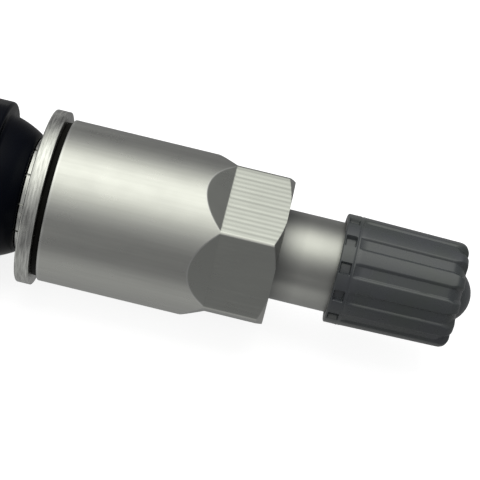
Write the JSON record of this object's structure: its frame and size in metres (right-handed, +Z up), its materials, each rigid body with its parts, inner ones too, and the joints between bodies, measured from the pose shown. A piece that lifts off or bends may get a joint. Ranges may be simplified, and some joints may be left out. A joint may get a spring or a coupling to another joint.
{
  "type": "tyre pressure sensor",
  "caption": "Clamp-in tyre pressure sensor: metal valve with rim washer, rubber grommet, hex collar nut and ribbed cap, held by its ball foot in the yoke of a flat electronics housing.",
  "frame": {"origin": "on the valve's axis, at the face where the washer meets the outside of the rim", "axes": "+X runs out along the valve to its cap, +Z is up from the flat base of the sensor housing, +Y is across the housing"},
  "size_m": [0.0944, 0.028, 0.0173],
  "materials": {
    "housing_plastic": "fine moulded grain, glass filled",
    "cover_plastic": "fine moulded grain",
    "board_laminate": "solder-resist gloss",
    "cell_steel": "nickel plated, satin",
    "tab_metal": "bright rolled strip",
    "chip_resin": "moulded resin",
    "gasket_rubber": "matt",
    "ferrite": "pressed and fired",
    "copper_wire": "enamelled",
    "antenna_metal": "tinned strip",
    "crystal_can": "satin",
    "ceramic": "fired",
    "screw_steel": "zinc plated",
    "stem_metal": "turned and plated",
    "grommet_rubber": "smooth moulded, slightly shiny",
    "washer_metal": "dull, with fine turning marks",
    "ring_plastic": "matt",
    "nut_metal": "turned, satin nickel look",
    "cap_plastic": "smoky grey, slightly translucent",
    "seal_rubber": "matt",
    "core_brass": "turned",
    "core_gasket_rubber": "matt",
    "spring_steel": "drawn wire"
  },
  "bodies": {
    "housing": {"housing": "housing_plastic", "base_cover": "cover_plastic", "circuit_board": "board_laminate", "coin_cell": "cell_steel", "cell_top_tab": "tab_metal", "cell_bottom_tab": "tab_metal", "sensor_chip": "chip_resin", "port_gasket": "gasket_rubber", "coil_core": "ferrite", "coil_winding": "copper_wire", "antenna": "antenna_metal", "crystal": "crystal_can", "capacitors": "ceramic"},
    "valve": {"valve_stem": "stem_metal", "rubber_grommet": "grommet_rubber", "clamp_screw": "screw_steel", "core_plug": "core_brass", "core_barrel": "core_brass", "core_gasket": "core_gasket_rubber", "core_spring": "spring_steel"},
    "core": {"core_pin": "core_brass", "core_seal": "seal_rubber"},
    "nut_guide": {"rim_washer": "washer_metal", "friction_ring": "ring_plastic"},
    "nut": {"collar_nut": "nut_metal"},
    "cap_guide": {"cap_seal": "seal_rubber"},
    "cap": {"valve_cap": "cap_plastic"}
  },
  "joints": [
    {"name": "valve_tilt", "type": "hinge", "parent": "housing", "child": "valve", "pos_m": [-0.01275, 0, 0], "axis": [0, -1, 0], "range_deg": [0, 25]},
    {"name": "core_press", "type": "slide", "parent": "valve", "child": "core", "axis": [-1, 0, 0], "range_m": [0, 0.0012], "stiffness_N_per_m": 800, "springref_m": -0.001, "deforming": ["core_spring"]},
    {"name": "nut_lift", "type": "slide", "parent": "valve", "child": "nut_guide", "axis": [1, 0, 0], "range_m": [0, 0.0055]},
    {"name": "nut_turn", "type": "hinge", "parent": "nut_guide", "child": "nut", "pos_m": [0.012, 0, 0], "axis": [1, 0, 0], "range_deg": [0, 2640]},
    {"name": "cap_lift", "type": "slide", "parent": "valve", "child": "cap_guide", "axis": [1, 0, 0], "range_m": [0, 0.012]},
    {"name": "cap_turn", "type": "hinge", "parent": "cap_guide", "child": "cap", "pos_m": [0.036, 0, 0], "axis": [1, 0, 0], "range_deg": [0, 5443]}
  ],
  "couplings": [
    {"joint": "nut_turn", "follows": "nut_lift", "rad_per_m": 8377.6},
    {"joint": "cap_turn", "follows": "cap_lift", "rad_per_m": 7915.8}
  ]
}
